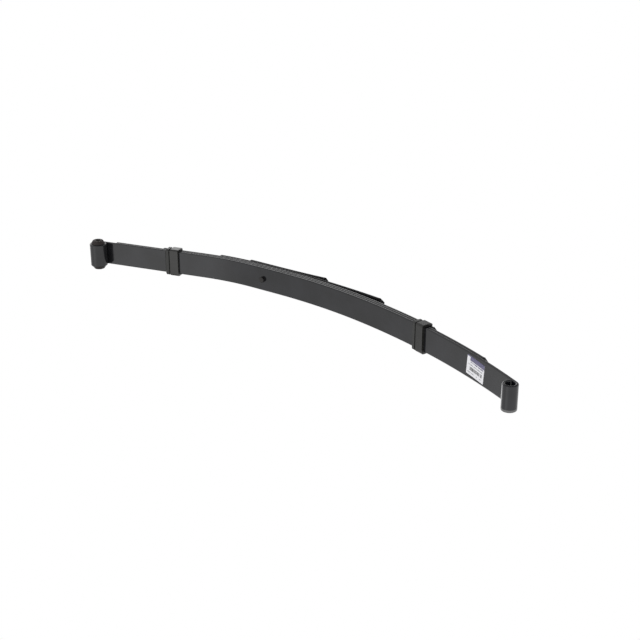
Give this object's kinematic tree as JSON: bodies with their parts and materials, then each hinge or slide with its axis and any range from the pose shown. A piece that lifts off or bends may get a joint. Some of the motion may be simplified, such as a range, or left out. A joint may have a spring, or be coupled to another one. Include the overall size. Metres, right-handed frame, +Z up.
{
  "type": "leaf spring",
  "caption": "Arched multi-leaf vehicle spring with a rubber-bushed eye at one end, an open rolled eye at the other, rebound clips and a centre bolt.",
  "frame": {"origin": "on the centre bolt's axis, at the main leaf's upper face", "axes": "+X along the spring to the open rear eye, +Z up along the centre bolt to the hollow side of the arch, +Y across the leaves"},
  "size_m": [1.3908, 0.0826, 0.311],
  "materials": {
    "leaf_paint": "semi-gloss black paint",
    "lower_leaf_paint": "matt black paint",
    "strap_paint": "satin black paint",
    "bolt_coating": "black oxide",
    "rivet_paint": "satin black paint",
    "liner_polymer": "matt black wear strip",
    "clip_polymer": "moulded black polymer",
    "bush_rubber": "natural rubber, dark",
    "bush_steel": "turned steel, dulled",
    "shell_steel": "dulled steel",
    "label_film": "white film with a printed band"
  },
  "bodies": {
    "centre_pack": {"main_leaf": "leaf_paint", "second_leaf": "leaf_paint", "third_leaf": "leaf_paint", "fourth_leaf": "lower_leaf_paint", "fifth_leaf": "lower_leaf_paint", "upper_interliner": "liner_polymer", "middle_interliner": "liner_polymer", "lower_seat_liner": "liner_polymer", "bottom_seat_liner": "liner_polymer", "centre_bolt": "bolt_coating", "centre_bolt_nut": "bolt_coating"},
    "front_limb": {"front_clip_liner": "clip_polymer", "front_clip_strap": "strap_paint", "front_clip_rivet": "rivet_paint"},
    "front_end": {"front_bush_shell": "shell_steel", "front_bush_rubber": "bush_rubber"},
    "front_sleeve": {"front_bush_sleeve": "bush_steel"},
    "rear_limb": {"rear_clip_liner": "clip_polymer", "rear_clip_strap": "strap_paint", "rear_clip_rivet": "rivet_paint"},
    "rear_end": {"part_label": "label_film"}
  },
  "joints": [
    {"name": "rear_flex", "type": "hinge", "parent": "centre_pack", "child": "rear_limb", "pos_m": [0.19745, 0, 0.00184], "axis": [0, 1, 0], "range_deg": [-1.5, 10], "stiffness_Nm_per_rad": 5000, "deforming": ["main_leaf", "second_leaf", "third_leaf", "fourth_leaf", "fifth_leaf", "upper_interliner", "middle_interliner"]},
    {"name": "rear_end_flex", "type": "hinge", "parent": "rear_limb", "child": "rear_end", "pos_m": [0.46852, 0, 0.05823], "axis": [0, 1, 0], "range_deg": [-1, 6.6]},
    {"name": "front_flex", "type": "hinge", "parent": "centre_pack", "child": "front_limb", "pos_m": [-0.12469, 0, -0.00125], "axis": [0, -1, 0], "range_deg": [-0.8, 5.1], "stiffness_Nm_per_rad": 11000},
    {"name": "front_end_flex", "type": "hinge", "parent": "front_limb", "child": "front_end", "pos_m": [-0.26109, 0, 0.02875], "axis": [0, -1, 0], "range_deg": [-0.6, 4]},
    {"name": "front_bush_twist", "type": "hinge", "parent": "front_end", "child": "front_sleeve", "pos_m": [-0.49333, 0, 0.11026], "axis": [0, 1, 0], "range_deg": [-20, 20], "stiffness_Nm_per_rad": 30, "deforming": ["front_bush_rubber"]}
  ],
  "couplings": [
    {"joint": "rear_end_flex", "follows": "rear_flex", "ratio": 0.655},
    {"joint": "front_flex", "follows": "rear_flex", "ratio": 0.504},
    {"joint": "front_end_flex", "follows": "rear_flex", "ratio": 0.395}
  ]
}
